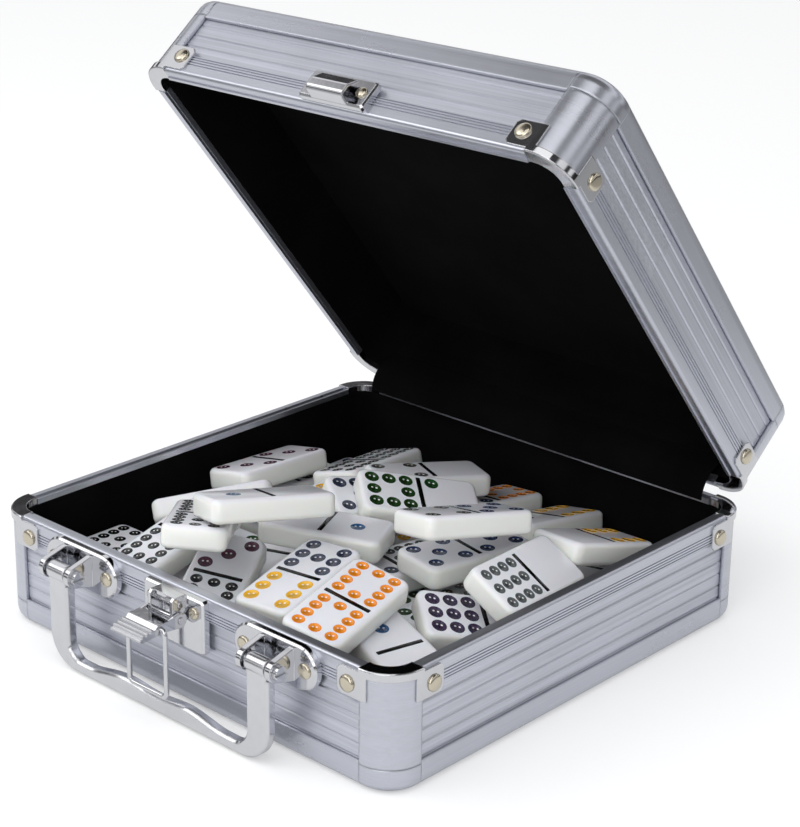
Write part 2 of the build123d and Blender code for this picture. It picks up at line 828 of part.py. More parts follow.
def hinge_rivets(flip):
    heads = []
    rim_z = base_height if flip < 0 else base_height + rim_gap
    z = rim_z + flip * hinge_rivet_drop
    y = half_depth + hinge_leaf_thickness
    for x in (-hinge_x, hinge_x):
        for d in (-hinge_rivet_x, hinge_rivet_x):
            head = flat_head(hinge_rivet_radius, hinge_rivet_height)
            heads.append(rivet_on((x + d, y, z), (0, 1, 0), head))
    if flip > 0:
        heads = [turn_lid(head) for head in heads]
    return heads


def arc_point(radius, angle):
    # Point in the side view of the shut case, angle up from the inward direction at the hinge axis
    turn = math.radians(angle)
    return (hinge_y - radius * math.cos(turn), hinge_z + radius * math.sin(turn))


def hinge_flap():
    # Strip curved about the hinge axis, hung from a flange on the rear wall of the lid
    inner = flap_radius
    outer = flap_radius + flap_thickness
    middle = (flap_low_angle + flap_high_angle) / 2
    low_in = arc_point(inner, flap_low_angle)
    low_out = arc_point(outer, flap_low_angle)
    high_in = arc_point(inner, flap_high_angle)
    high_out = arc_point(outer, flap_high_angle)
    face_y = half_depth - lining_inner - flap_seat
    crest = high_out[1] + flap_flange
    flange = [
        high_out,
        (face_y - flap_thickness, high_out[1] + flap_flange_start),
        (face_y - flap_thickness, crest),
        (face_y, crest),
        (face_y, high_out[1] + flap_flange_start / 2),
        high_in,
    ]
    section = make_face([
        ThreePointArc(low_out, arc_point(outer, middle), high_out),
        Polyline(*flange),
        ThreePointArc(high_in, arc_point(inner, middle), low_in),
        Line(low_in, low_out),
    ])
    strip = slab(section, -flap_half_length, 2 * flap_half_length)
    return turn_lid(strip)


def save(name, solids):
    pieces = [s for item in solids for s in item.solids()]
    shape = pieces[0] if len(pieces) == 1 else Compound(children=pieces)
    shape.label = name
    export_step(shape, f"parts/{name}.step")


def build_half(prefix, height, tongue, place):
    # One half of the case: boards, rails, corners, clips and lining
    cover = "bottom_panel" if prefix == "base" else "top_panel"
    save(f"{prefix}_front_panel", [place(wall_board(height, FRONT))])
    save(f"{prefix}_rear_panel", [place(wall_board(height, REAR))])
    save(f"{prefix}_side_panels", [place(wall_board(height, s)) for s in (LEFT, RIGHT)])
    save(f"{prefix}_{cover}", [place(cover_board(height))])
    save(f"{prefix}_rim_rails", [place(r) for r in rim_rails(tongue)])
    save(f"{prefix}_edge_rails", [place(r) for r in edge_rails(height)])
    save(f"{prefix}_corner_posts", [place(p) for p in corner_posts(height)])
    save(f"{prefix}_corner_caps", [place(c) for c in corner_caps(height)])
    save(f"{prefix}_rim_clips", [place(c) for c in four_corners(rim_clip())])
    save(f"{prefix}_clip_rivets", [place(h) for h in clip_rivets()])
    save(f"{prefix}_lining", [place(lining_tray(height))])


def build_hardware():
    save("handle_brackets", [handle_bracket(-1), handle_bracket(1)])
    save("handle_bracket_rivets", bracket_rivets())
    save("handle_pins", [handle_pin(-1), handle_pin(1)])
    save("handle", [handle()])
    save("latch_plate", [latch_plate()])
    save("latch_rivets", latch_rivets())
    save("latch_pins", latch_pins())
    save("latch_lever", [latch_lever()])
    save("latch_bail", [latch_bail()])
    save("lid_catch", [lid_catch()])
    save("lid_catch_rivets", catch_rivets())
    save("hinge_base_leaves", hinge_base_leaves())
    save("hinge_lid_leaves", hinge_lid_leaves())
    save("hinge_pins", hinge_pins())
    save("hinge_base_rivets", hinge_rivets(-1))
    save("hinge_lid_rivets", hinge_rivets(1))
    save("hinge_flap", [hinge_flap()])


def tile_axes(turn, roll, pitch):
    # Columns are the tile's long, short and thickness directions
    t, r, p = (math.radians(angle) for angle in (turn, roll, pitch))
    about_z = np.array([[math.cos(t), -math.sin(t), 0], [math.sin(t), math.cos(t), 0], [0, 0, 1]])
    about_short = np.array([[math.cos(p), 0, math.sin(p)], [0, 1, 0], [-math.sin(p), 0, math.cos(p)]])
    about_long = np.array([[1, 0, 0], [0, math.cos(r), -math.sin(r)], [0, math.sin(r), math.cos(r)]])
    return about_z @ about_short @ about_long


class HeightMap:
    # Height of everything lying in the case, kept on a fine grid so that each domino can be let down on it

    def __init__(self, floor):
        reach_x = half_width - wall_inner
        reach_y = half_depth - wall_inner
        xs = np.arange(-reach_x, reach_x, map_cell)
        ys = np.arange(-reach_y, reach_y, map_cell)
        self.x, self.y = np.meshgrid(xs, ys, indexing="ij")
        self.height = np.full(self.x.shape, floor)

    def span(self, x, y, axes):
        # Lower and upper face of a domino centred at height zero, above every grid point that it covers
        low = np.full(self.x.shape, -1e6)
        high = np.full(self.x.shape, 1e6)
        halves = (domino_length / 2, domino_width / 2, domino_thickness / 2)
        for axis, half in zip(axes.T, halves):
            side = axis[0] * (self.x - x) + axis[1] * (self.y - y)
            if abs(axis[2]) < 1e-6:
                low[np.abs(side) > half] = 1e6
                continue
            first = (-half - side) / axis[2]
            second = (half - side) / axis[2]
            low = np.maximum(low, np.minimum(first, second))
            high = np.minimum(high, np.maximum(first, second))
        return low, high, high > low

    def rest(self, x, y, axes):
        low, high, covered = self.span(x, y, axes)
        level = float((self.height[covered] - low[covered]).max()) + domino_gap
        self.height[covered] = np.maximum(self.height[covered], level + high[covered])
        return level


def inside_walls(x, y, axes):
    # Moves a domino's centre just enough to clear the lining on every side
    halves = np.array([domino_length, domino_width, domino_thickness]) / 2
    limit_x = half_width - lining_inner - domino_wall_gap - float(np.abs(axes[0]) @ halves)
    limit_y = half_depth - lining_inner - domino_wall_gap - float(np.abs(axes[1]) @ halves)
    return min(max(x, -limit_x), limit_x), min(max(y, -limit_y), limit_y)


def lay_domino(heap, blank, x, y, turn, roll, pitch):
    axes = tile_axes(turn, roll, pitch)
    x, y = inside_walls(x, y, axes)
    level = heap.rest(x, y, axes)
    return Plane(origin=(x, y, level), x_dir=tuple(axes[:, 0]), z_dir=tuple(axes[:, 2])) * blank


def domino():
    # One domino centred on the origin, its plan corners cut off
    outline = Rectangle(domino_length, domino_width)
    outline = chamfer(outline.vertices(), domino_corner_cut)
    return extrude(outline, amount=domino_thickness / 2, both=True)


def first_layer_places():
    pitch_x = (case_width - 2 * lining_inner) / layer_columns
    pitch_y = domino_width + layer_row_gap
    return [
        ((i - (layer_columns - 1) / 2) * pitch_x, (j - (layer_rows - 1) / 2) * pitch_y, 0, 0, 0)
        for j in range(layer_rows)
        for i in range(layer_columns)
    ]


def build_dominoes():
    # Each domino comes to rest on what lies below it, layer by layer and then one by one
    heap = HeightMap(board_recess + board_thickness + seat + lining_thickness)
    blank = domino()
    save("domino_first_layer", [lay_domino(heap, blank, *place) for place in first_layer_places()])
    save("domino_second_layer", [lay_domino(heap, blank, *place, 0, 0) for place in second_layer])
    rear = []
    front = []
    for place in loose_dominoes:
        group = rear if place[1] > 0 else front
        group.append(lay_domino(heap, blank, *place))
    save("domino_heap_rear", rear)
    save("domino_heap_front", front)


os.makedirs("parts", exist_ok=True)
build_half("base", base_height, False, to_base)
build_half("lid", lid_height, True, to_lid)
build_hardware()
build_dominoes()
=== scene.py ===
import math

import bpy
import numpy as np
from mathutils import Matrix, Vector

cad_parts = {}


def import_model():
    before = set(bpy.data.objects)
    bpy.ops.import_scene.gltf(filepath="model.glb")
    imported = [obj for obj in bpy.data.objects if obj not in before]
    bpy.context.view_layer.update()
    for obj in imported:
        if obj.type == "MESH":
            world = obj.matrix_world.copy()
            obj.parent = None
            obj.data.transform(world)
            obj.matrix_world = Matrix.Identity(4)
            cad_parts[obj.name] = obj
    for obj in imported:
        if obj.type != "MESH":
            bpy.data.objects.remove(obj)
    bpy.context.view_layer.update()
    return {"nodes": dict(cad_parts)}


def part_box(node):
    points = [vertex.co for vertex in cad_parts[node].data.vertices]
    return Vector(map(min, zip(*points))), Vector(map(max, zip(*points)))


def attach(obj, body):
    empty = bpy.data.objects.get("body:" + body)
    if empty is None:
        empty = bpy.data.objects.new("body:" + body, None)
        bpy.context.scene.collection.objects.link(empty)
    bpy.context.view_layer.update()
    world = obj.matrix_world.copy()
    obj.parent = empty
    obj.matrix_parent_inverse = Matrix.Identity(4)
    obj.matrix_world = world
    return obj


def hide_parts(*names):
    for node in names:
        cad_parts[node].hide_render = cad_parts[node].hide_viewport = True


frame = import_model()
nodes = frame["nodes"]
MM = 0.001

# Camera of the photograph: direction, distance and lens, fitted to the rim of the case and the dominoes
PHOTO_WIDTH = 800
PHOTO_HEIGHT = 827
CAMERA_AZIMUTH = 42.477
CAMERA_ELEVATION = 20.326
CAMERA_ROLL = 0.797
CAMERA_DISTANCE = 1.002336
CAMERA_TARGET = Vector((-0.081208, 0.102821, 0.048))
FOCAL_PIXELS = 2183.1
AXIS_PIXEL = (400.8, 392.3)
SENSOR_WIDTH = 36.0

# The case, read from the frame
LID_TURN = 51.0
HALF_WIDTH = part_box("base_rim_rails")[1].x
HALF_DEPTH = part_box("base_rim_rails")[1].y

# Rivet heads, as shares of their radius and height, and the wire of the bail
RIVET_PROFILE = ((1.0, 0.0), (1.0, 0.25), (0.95, 0.5), (0.86, 0.72), (0.7, 0.86), (0.45, 0.96), (0.15, 1.0))
RIVET_SIDES = 28
SEAT_DEPTH = 0.05 * MM
BAIL_END_SHARE = 0.56
BAIL_BEND_IN_WIRES = 2.2
BAIL_BEND_STEPS = 6
BAIL_SIDES = 16

# Dominoes
TILE_HALF = (25.4 * MM, 12.7 * MM, 4.75 * MM)
TILE_CORNER = 4.0 * MM
TILE_EDGE = 2.2 * MM
TILE_EDGE_STEPS = 4
HALF_CENTRE = 12.7 * MM
PIP_LONG_STEP = 7.2 * MM
PIP_CROSS_STEP = 7.15 * MM
PIP_ROW_STEP = 5.4 * MM
PIP_RADIUS = 3.0 * MM
SMALL_PIP_RADIUS = 2.45 * MM
# Share of the radius and height above the tile of each ring of a pip, from foot to middle
PIP_PROFILE = ((1.0, -0.1 * MM), (1.0, 0.05 * MM), (0.9, 0.13 * MM), (0.55, 0.1 * MM))
PIP_MIDDLE = 0.05 * MM
# Two small painted highlights in every pip: shares of its radius along and across the line joining them
PAINTED_HIGHLIGHT_SPOT = (0.3, 0.1)
PAINTED_HIGHLIGHT_LINE = Vector((0.74, 0.67, 0))
# Squared distances over which a painted highlight fades, and the colour of the painted highlights
PAINTED_HIGHLIGHT_EDGE = (0.008, 0.03)
PAINTED_HIGHLIGHT_COLOUR = (0.9, 0.9, 0.92)
# Relief that shades a pip as a small bowl
BOWL_POWER = 0.62
BOWL_STRENGTH = 0.8
BOWL_DEPTH = 0.7 * PIP_RADIUS
# Divider: half its sizes, its corner, and the heights of its foot and top above the tile
DIVIDER_HALF = (0.95 * MM, 9.9 * MM)
DIVIDER_CORNER = 0.3 * MM
DIVIDER_SPAN = (-0.1 * MM, 0.04 * MM)
# Direction in plan in which a domino's far end points
FAR_WAY = Vector((0.5, 0.866, 0))
# Step through the pairs for the dominoes that hardly show
SPARE_STEP = 29

# Stretch of the aluminium's grain and broader bands: long along a side and fine across it
GRAIN_FRONT = (7, 500, 1400)
GRAIN_SIDE = (500, 7, 1400)
BAND_FRONT = (2, 40, 260)
BAND_SIDE = (40, 2, 260)
CLOUD = (1, 1, 2.5)
GRAIN_DEPTH = 0.05 * MM
# Share of the half width that no place reaches, so that a flat sheet keeps the front's grain
BEYOND_THE_SIDES = 99.0

# Colours
ALUMINIUM = (0.585, 0.60, 0.665)
PANEL_ALUMINIUM_SHARE = 1.03
LINING_DARK = (0.0025, 0.0025, 0.0028)
LINING_LIGHT = (0.0045, 0.0045, 0.005)
# Resin: sides painted lighter and warmer as painted light, upper faces painted darker and cooler as painted
# shade
RESIN_SIDE_PAINTED_LIGHT = (0.86, 0.87, 0.83)
RESIN_TOP_PAINTED_SHADE = (0.80, 0.80, 0.86)
DIVIDER_BLACK = (0.005, 0.005, 0.005)

# Studio tent as polished metal sees it: brightness at the sine of each height above the horizon
TENT_BANDS = (
    (0.0, 0.02),
    (0.10, 0.04),
    (0.15, 0.75),
    (0.27, 0.95),
    (0.33, 0.05),
    (0.42, 0.05),
    (0.48, 0.85),
    (0.69, 0.95),
    (0.76, 0.06),
    (1.0, 0.04),
)
TENT_GLOW = 0.80
FLOOR_GREY = 0.72
FLOOR_GLOW_SEEN = 0.31
FLOOR_GLOW_MIRRORED = 0.12
FLOOR_HALF = 4.0
# Mirror rays see the floor dim between these distances from the middle of the case
FLOOR_DIM_SPAN = (0.3, 0.6)
FLOOR_DIM_SHARE = 0.6
BLUE_SHARE = 1.02

# Lamps: name, place, width and depth, power
LAMPS = (
    ("key", (-0.9, -0.9, 1.3), (1.1, 1.1), 5),
    ("fill", (0.6, -1.4, 0.6), (1.0, 1.0), 4),
    ("top", (0.25, -0.75, 1.5), (1.3, 1.3), 6.5),
)
LAMP_AIM = Vector((0, 0, 0.06))


# Node-tree helpers

class Shader:
    """A material with one Principled shader and short calls to add what feeds it."""

    def __init__(self, name):
        self.material = bpy.data.materials.new(name)
        self.material.use_nodes = True
        self.tree = self.material.node_tree
        self.tree.nodes.clear()
        self.out = self.node("ShaderNodeOutputMaterial")
        self.surface = self.node("ShaderNodeBsdfPrincipled")
        self.link(self.surface.outputs["BSDF"], self.out.inputs["Surface"])

    def node(self, kind, **settings):
        made = self.tree.nodes.new(kind)
        for key, value in settings.items():
            setattr(made, key, value)
        return made

    def link(self, source, target):
        self.tree.links.new(source, target)

    def set(self, **values):
        for key, value in values.items():
            self.surface.inputs[key.replace("_", " ")].default_value = value

    def square(self, value):
        return self.math("POWER", self.math("ABSOLUTE", value), 2)

    def math(self, operation, first, second=0.0):
        made = self.node("ShaderNodeMath", operation=operation)
        for socket, value in zip(made.inputs, (first, second)):
            if isinstance(value, (int, float)):
                socket.default_value = value
            else:
                self.link(value, socket)
        return made.outputs[0]

    def place(self, scale=(1, 1, 1), turn=0.0):
        """Object coordinates, turned back about x for pieces of the lid, and stretched."""
        coordinates = self.node("ShaderNodeTexCoord").outputs["Object"]
        turned = self.node("ShaderNodeMapping")
        turned.inputs["Rotation"].default_value = (math.radians(turn), 0, 0)
        self.link(coordinates, turned.inputs["Vector"])
        stretched = self.node("ShaderNodeMapping")
        stretched.inputs["Scale"].default_value = scale
        self.link(turned.outputs[0], stretched.inputs["Vector"])
        return stretched.outputs[0]

    def noise(self, vector, scale, detail=4.0, roughness=0.55):
        made = self.node("ShaderNodeTexNoise")
        made.inputs["Scale"].default_value = scale
        made.inputs["Detail"].default_value = detail
        made.inputs["Roughness"].default_value = roughness
        self.link(vector, made.inputs["Vector"])
        return made.outputs["Fac"]

    def between(self, factor, low, high, start=0.3, end=0.7):
        """Maps a factor to the span from low to high."""
        made = self.node("ShaderNodeMapRange")
        span = {"From Min": start, "From Max": end, "To Min": low, "To Max": high}
        for key, value in span.items():
            made.inputs[key].default_value = value
        self.link(factor, made.inputs["Value"])
        return made.outputs["Result"]

    def ramp(self, factor, low, high):
        """Runs between two stops, each a position and a colour."""
        made = self.node("ShaderNodeValToRGB")
        for element, (position, colour) in zip(made.color_ramp.elements, (low, high)):
            element.position = position
            element.color = (*colour, 1)
        self.link(factor, made.inputs["Fac"])
        return made.outputs["Color"]

    def bump(self, height, strength, distance, edge=0.0):
        """Surface relief, over edges that shade as if rounded where a radius is given."""
        made = self.node("ShaderNodeBump")
        made.inputs["Strength"].default_value = strength
        made.inputs["Distance"].default_value = distance
        self.link(height, made.inputs["Height"])
        if edge:
            soft = self.node("ShaderNodeBevel", samples=6)
            soft.inputs["Radius"].default_value = edge
            self.link(soft.outputs["Normal"], made.inputs["Normal"])
        self.link(made.outputs["Normal"], self.surface.inputs["Normal"])

    def tint(self, factor, first, colour):
        """Blends a colour socket towards one constant colour."""
        made = self.node("ShaderNodeMix", data_type="RGBA")
        self.link(factor, made.inputs[0])
        self.link(first, made.inputs[6])
        made.inputs[7].default_value = (*colour, 1)
        return made.outputs[2]

    def mix(self, factor, first, second):
        made = self.node("ShaderNodeMix", data_type="FLOAT")
        self.link(factor, made.inputs["Factor"])
        self.link(first, made.inputs[2])
        self.link(second, made.inputs[3])
        return made.outputs[0]


def shade(colour, amount):
    return tuple(min(1.0, c * amount) for c in colour)


# Materials

def brushed_aluminium(name, colour, roughness, turn, streaks, edge=0.0, one_way=False):
    """Anodised metal drawn along each side of the case: the grain follows the side it is on."""
    s = Shader(name)
    s.set(Metallic=0.92)
    axes = s.node("ShaderNodeSeparateXYZ")
    s.link(s.place(turn=turn), axes.inputs[0])
    across = s.math("MULTIPLY", s.math("ABSOLUTE", axes.outputs[0]), 1 / HALF_WIDTH)
    along = s.math("MULTIPLY", s.math("ABSOLUTE", axes.outputs[1]), 1 / HALF_DEPTH)
    on_side = s.math("GREATER_THAN", across, BEYOND_THE_SIDES if one_way else along)
    grain_front = s.noise(s.place(GRAIN_FRONT, turn), 1.0, 5.0, 0.65)
    grain_side = s.noise(s.place(GRAIN_SIDE, turn), 1.0, 5.0, 0.65)
    grain = s.mix(on_side, grain_front, grain_side)
    band_front = s.noise(s.place(BAND_FRONT, turn), 1.0, 2.0)
    band_side = s.noise(s.place(BAND_SIDE, turn), 1.0, 2.0)
    band = s.mix(on_side, band_front, band_side)
    cloud = s.noise(s.place(CLOUD, turn), 16.0)
    broad = s.math("MULTIPLY", s.math("ADD", band, cloud), 0.25)
    tone = s.math("ADD", s.math("MULTIPLY", grain, 0.5), broad)
    dark = (0.38, shade(colour, 1 - streaks))
    light = (0.62, shade(colour, 1 + streaks))
    s.link(s.ramp(tone, dark, light), s.surface.inputs["Base Color"])
    s.link(s.between(cloud, roughness - 0.03, roughness + 0.03), s.surface.inputs["Roughness"])
    s.bump(grain, 0.10, GRAIN_DEPTH, edge)
    return s.material


def chrome(name, colour, roughness, edge=0.5 * MM):
    """Polished plating with faint smudges and a slight orange peel."""
    s = Shader(name)
    s.set(Metallic=1.0)
    smudge = s.noise(s.place(), 160.0, 3.0)
    s.link(s.between(smudge, roughness, roughness + 0.06), s.surface.inputs["Roughness"])
    tone = s.ramp(smudge, (0.35, shade(colour, 0.95)), (0.75, colour))
    s.link(tone, s.surface.inputs["Base Color"])
    s.bump(s.noise(s.place(), 300.0, 2.0), 0.15, 0.1 * MM, edge)
    return s.material


def lining(name):
    """Matt black short pile that takes a little light at grazing angles."""
    s = Shader(name)
    s.set(Sheen_Weight=0.01, Sheen_Roughness=0.5, Specular_IOR_Level=0.03)
    pile = s.noise(s.place(), 2600.0, 3.0, 0.7)
    patch = s.noise(s.place(), 30.0, 3.0)
    tone = s.ramp(patch, (0.35, LINING_DARK), (0.7, LINING_LIGHT))
    s.link(tone, s.surface.inputs["Base Color"])
    s.link(s.between(pile, 0.85, 1.0), s.surface.inputs["Roughness"])
    s.bump(pile, 0.5, 0.2 * MM)
    return s.material


def resin(name):
    """Glossy casting resin: upper faces painted darker and cooler as painted shade, sides painted lighter
    and warmer as painted light.
    """
    s = Shader(name)
    s.set(Specular_IOR_Level=0.45, Coat_Weight=0.2, Coat_Roughness=0.06)
    s.set(Subsurface_Weight=0.12, Subsurface_Scale=0.004)
    mottle = s.noise(s.place(), 40.0, 4.0)
    # Painted light and shade: the colour follows how far each face turns upward
    normal = s.node("ShaderNodeSeparateXYZ")
    s.link(s.node("ShaderNodeNewGeometry").outputs["Normal"], normal.inputs[0])
    flat = s.between(normal.outputs[2], 0.0, 0.85, 0.3, 0.9)
    level = s.math("ADD", flat, s.math("MULTIPLY", mottle, 0.15))
    tone = s.ramp(level, (0.0, RESIN_SIDE_PAINTED_LIGHT), (1.0, RESIN_TOP_PAINTED_SHADE))
    s.link(tone, s.surface.inputs["Base Color"])
    s.link(s.between(mottle, 0.15, 0.24), s.surface.inputs["Roughness"])
    s.bump(s.noise(s.place(), 260.0, 2.0), 0.05, 0.1 * MM)
    return s.material


def enamel(name, colour, gloss=1.0):
    """Coloured gloss of a pip, with painted shade that darkens its middle, two painted highlights and a
    bowl's shading from its relief.
    """
    s = Shader(name)
    s.set(Specular_IOR_Level=0.6 * gloss, Coat_Weight=0.5 * gloss, Coat_Roughness=0.04)
    split = s.node("ShaderNodeSeparateXYZ")
    s.link(s.node("ShaderNodeTexCoord").outputs["UV"], split.inputs[0])
    square = s.math("ADD", s.square(split.outputs[0]), s.square(split.outputs[1]))
    pool = s.noise(s.place(), 700.0, 3.0)
    # Painted shade: the pip's colour is darker in its middle, as in a hollow
    body = s.ramp(square, (0.0, shade(colour, 0.75)), (0.3, shade(colour, 0.95)))
    # Painted highlights: two light spots mixed into the pip's colour
    along = s.math("SUBTRACT", s.math("ABSOLUTE", split.outputs[0]), PAINTED_HIGHLIGHT_SPOT[0])
    across = s.math("SUBTRACT", split.outputs[1], PAINTED_HIGHLIGHT_SPOT[1])
    reach = s.math("ADD", s.square(along), s.square(across))
    painted_highlight = s.between(reach, 1.0, 0.0, *PAINTED_HIGHLIGHT_EDGE)
    s.link(s.tint(painted_highlight, body, PAINTED_HIGHLIGHT_COLOUR), s.surface.inputs["Base Color"])
    s.link(s.between(pool, 0.10, 0.18), s.surface.inputs["Roughness"])
    s.bump(s.math("POWER", square, BOWL_POWER), BOWL_STRENGTH, BOWL_DEPTH)
    return s.material


def aluminium_pair(finish, colour, roughness, streaks, **extra):
    """The same finish for the base and for the turned lid."""
    base = brushed_aluminium(f"{finish}_base", colour, roughness, 0.0, streaks, **extra)
    lid = brushed_aluminium(f"{finish}_lid", colour, roughness, LID_TURN, streaks, **extra)
    return base, lid


materials = {
    "lining": lining("black_lining"),
    "chrome": chrome("hardware_chrome", (0.68, 0.685, 0.71), 0.05),
    "handle": chrome("handle_chrome", (0.70, 0.705, 0.73), 0.05, 1.4 * MM),
    "nickel": chrome("rivet_nickel", (0.66, 0.60, 0.48), 0.16, 0.0),
    "resin": resin("domino_resin"),
}
PANEL_ALUMINIUM = shade(ALUMINIUM, PANEL_ALUMINIUM_SHARE)
pairs = {
    "rails": aluminium_pair("satin_aluminium", ALUMINIUM, 0.30, 0.07),
    "caps": aluminium_pair("smooth_aluminium", ALUMINIUM, 0.28, 0.05, edge=1.2 * MM),
    "sheet": aluminium_pair("sheet_aluminium", ALUMINIUM, 0.50, 0.08, one_way=True),
    "panels": aluminium_pair("ribbed_aluminium", PANEL_ALUMINIUM, 0.42, 0.16),
}
for kind, (on_base, on_lid) in pairs.items():
    materials["base_" + kind] = on_base
    materials["lid_" + kind] = on_lid

# Colour of each pip count; a blank end needs none
PIP_COLOURS = {
    1: (0.012, 0.095, 0.25),
    2: (0.012, 0.07, 0.015),
    3: (0.10, 0.028, 0.06),
    4: (0.11, 0.105, 0.09),
    5: (0.025, 0.045, 0.13),
    6: (0.95, 0.50, 0.01),
    7: (0.045, 0.055, 0.10),
    8: (0.016, 0.055, 0.012),
    9: (0.035, 0.02, 0.065),
    10: (1.0, 0.30, 0.008),
    11: (0.004, 0.005, 0.006),
    12: (0.10, 0.115, 0.12),
}
pip_materials = {n: enamel(f"pip_enamel_{n}", colour) for n, colour in PIP_COLOURS.items()}
groove_black = enamel("divider_black", DIVIDER_BLACK, 0.25)


def coat(name, material):
    """Gives a carried-over CAD node its material."""
    slots = nodes[name].data.materials
    slots.clear()
    slots.append(material)


def material_of(name):
    half = "lid" if name.startswith("lid_") else "base"
    if name.endswith("_lining") or name == "hinge_flap":
        return materials["lining"]
    if name in ("base_bottom_panel", "lid_top_panel"):
        return materials[half + "_sheet"]
    if name.endswith("_panel") or name.endswith("_panels"):
        return materials[half + "_panels"]
    if name.endswith("_rim_rails"):
        return materials[half + "_rails"]
    if name.endswith(("_edge_rails", "_posts", "_caps")):
        return materials[half + "_caps"]
    if name == "handle":
        return materials["handle"]
    if "rivets" in name:
        return materials["nickel"]
    if name.startswith("domino"):
        return materials["resin"]
    return materials["chrome"]


for node_name in nodes:
    coat(node_name, material_of(node_name))


# Dominoes

class Builder:
    """Collects vertices and faces with a material number for one mesh."""

    def __init__(self):
        self.points = []
        self.faces = []
        self.kinds = []
        self.maps = []
        self.materials = []

    def kind(self, material):
        if material not in self.materials:
            self.materials.append(material)
        return self.materials.index(material)

    def face(self, corners, number, spots=None):
        self.faces.append(corners)
        self.kinds.append(number)
        self.maps += spots or [(0, 0)] * len(corners)

    def band(self, near, far, size, number, maps=None):
        """Faces between two rings that start at the given vertices."""
        for i in range(size):
            j = (i + 1) % size
            spots = maps and [maps[0][i], maps[0][j], maps[1][j], maps[1][i]]
            self.face((near + i, near + j, far + j, far + i), number, spots)

    def rings(self, rings, place, material):
        """Skins rings of equal length one after another and caps both ends."""
        start = len(self.points)
        size = len(rings[0])
        number = self.kind(material)
        for ring in rings:
            self.points += [place @ Vector(p) for p in ring]
        last = start + (len(rings) - 1) * size
        for near in range(start, last, size):
            self.band(near, near + size, size, number)
        self.face(tuple(reversed(range(start, start + size))), number)
        self.face(tuple(range(last, last + size)), number)

    def pip(self, radius, place, material, sides=16):
        """Closed pip with a raised lip and sunk middle; its map is nought in the middle, one at the rim."""
        start = len(self.points)
        number = self.kind(material)
        turns = [2 * math.pi * k / sides for k in range(sides)]
        # The painted highlights of every pip lie along one fixed direction in the frame
        line = place.to_3x3().transposed() @ PAINTED_HIGHLIGHT_LINE
        lean = math.atan2(line.y, line.x)
        maps = []
        for reach, height in PIP_PROFILE:
            out = radius * reach
            self.points += [place @ Vector((out * math.cos(t), out * math.sin(t), height)) for t in turns]
            maps.append([(reach * math.cos(t - lean), reach * math.sin(t - lean)) for t in turns])
        self.points.append(place @ Vector((0, 0, PIP_MIDDLE)))
        last = len(PIP_PROFILE) - 1
        for ring in range(last):
            near = start + ring * sides
            self.band(near, near + sides, sides, number, (maps[ring], maps[ring + 1]))
        top = start + last * sides
        for k in range(sides):
            j = (k + 1) % sides
            self.face((top + k, top + j, top + sides), number, [maps[last][k], maps[last][j], (0, 0)])
        self.face(tuple(reversed(range(start, start + sides))), number)

    def finish(self, name):
        mesh = bpy.data.meshes.new(name)
        mesh.from_pydata([tuple(p) for p in self.points], [], self.faces)
        for material in self.materials:
            mesh.materials.append(material)
        mesh.polygons.foreach_set("material_index", self.kinds)
        mesh.polygons.foreach_set("use_smooth", [True] * len(mesh.polygons))
        layer = mesh.uv_layers.new(name="map")
        layer.data.foreach_set("uv", [c for spot in self.maps for c in spot])
        mesh.update()
        made = bpy.data.objects.new(name, mesh)
        bpy.context.scene.collection.objects.link(made)
        return made


def rounded_ring(half_x, half_y, radius, z, steps=5):
    """Rounded rectangle, anticlockwise."""
    points = []
    for sx, sy, start in ((1, 1, 0), (-1, 1, 90), (-1, -1, 180), (1, -1, 270)):
        for k in range(steps + 1):
            angle = math.radians(start + 90 * k / steps)
            points.append((
                sx * (half_x - radius) + radius * math.cos(angle),
                sy * (half_y - radius) + radius * math.sin(angle),
                z,
            ))
    return points


def tile_rings():
    """Rings of a domino from its lower to its upper face, with rounded edges."""
    rings = []
    half_x, half_y, half_z = TILE_HALF
    for side in (-1, 1):
        for k in range(TILE_EDGE_STEPS + 1)[::-side]:
            angle = math.radians(90 * k / TILE_EDGE_STEPS)
            inset = TILE_EDGE * (1 - math.sin(angle))
            height = side * (half_z - TILE_EDGE + TILE_EDGE * math.cos(angle))
            rings.append(rounded_ring(half_x - inset, half_y - inset, TILE_CORNER - inset, height))
    return rings


TILE_RINGS = tile_rings()


def pip_spots(count):
    """Places of the pips in one half, along and across from its centre, and their radius."""
    grid = {
        0: [],
        1: [(0, 0)],
        2: [(-1, 1), (1, -1)],
        3: [(-1, 1), (0, 0), (1, -1)],
        4: [(-1, 1), (1, 1), (-1, -1), (1, -1)],
        5: [(-1, 1), (1, 1), (0, 0), (-1, -1), (1, -1)],
        6: [(-1, 1), (0, 1), (1, 1), (-1, -1), (0, -1), (1, -1)],
        7: [(-1, 1), (0, 1), (1, 1), (0, 0), (-1, -1), (0, -1), (1, -1)],
        8: [(-1, 1), (0, 1), (1, 1), (-1, 0), (1, 0), (-1, -1), (0, -1), (1, -1)],
        9: [(a, b) for b in (1, 0, -1) for a in (-1, 0, 1)],
    }
    if count in grid:
        spots = [(a * PIP_LONG_STEP, b * PIP_CROSS_STEP) for a, b in grid[count]]
        return spots, PIP_RADIUS
    middle = {10: (-1.5, 1.5), 11: (-1.5, 0, 1.5), 12: (-1.5, -0.5, 0.5, 1.5)}[count]
    full = (-1.5, -0.5, 0.5, 1.5)
    spots = [(a, 1) for a in full] + [(a, 0) for a in middle] + [(a, -1) for a in full]
    return [(a * PIP_ROW_STEP, b * PIP_CROSS_STEP) for a, b in spots], SMALL_PIP_RADIUS


